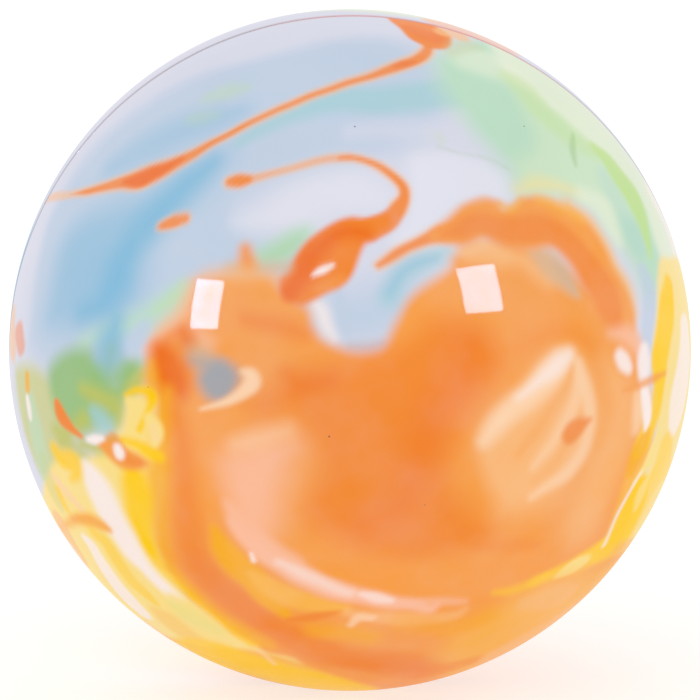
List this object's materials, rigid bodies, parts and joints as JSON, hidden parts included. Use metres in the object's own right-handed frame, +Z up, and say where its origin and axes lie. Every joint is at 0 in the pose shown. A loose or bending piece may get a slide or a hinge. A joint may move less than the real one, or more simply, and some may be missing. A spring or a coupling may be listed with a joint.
{
  "type": "field hockey ball",
  "caption": "Hard, smooth field hockey ball: marbled plastic half-shells joined at a parting line over a light centre of cork and wound yarn.",
  "frame": {"origin": "the centre of the ball", "axes": "+Z up; the parting line of the two half-shells lies in the XZ plane, the front half-shell is at -Y and the rear one at +Y"},
  "size_m": [0.073, 0.073, 0.073],
  "materials": {
    "marbled_plastic": "gloss",
    "seam_cement": "satin",
    "yarn": "matte",
    "cork": "matte",
    "cork_rubber": "matte"
  },
  "bodies": {
    "root": {"front_cover": "marbled_plastic", "rear_cover": "marbled_plastic", "seam_bead": "seam_cement", "outer_winding": "yarn", "upper_cork_cup": "cork", "lower_cork_cup": "cork", "inner_winding": "yarn", "core_pill": "cork_rubber"}
  },
  "joints": []
}
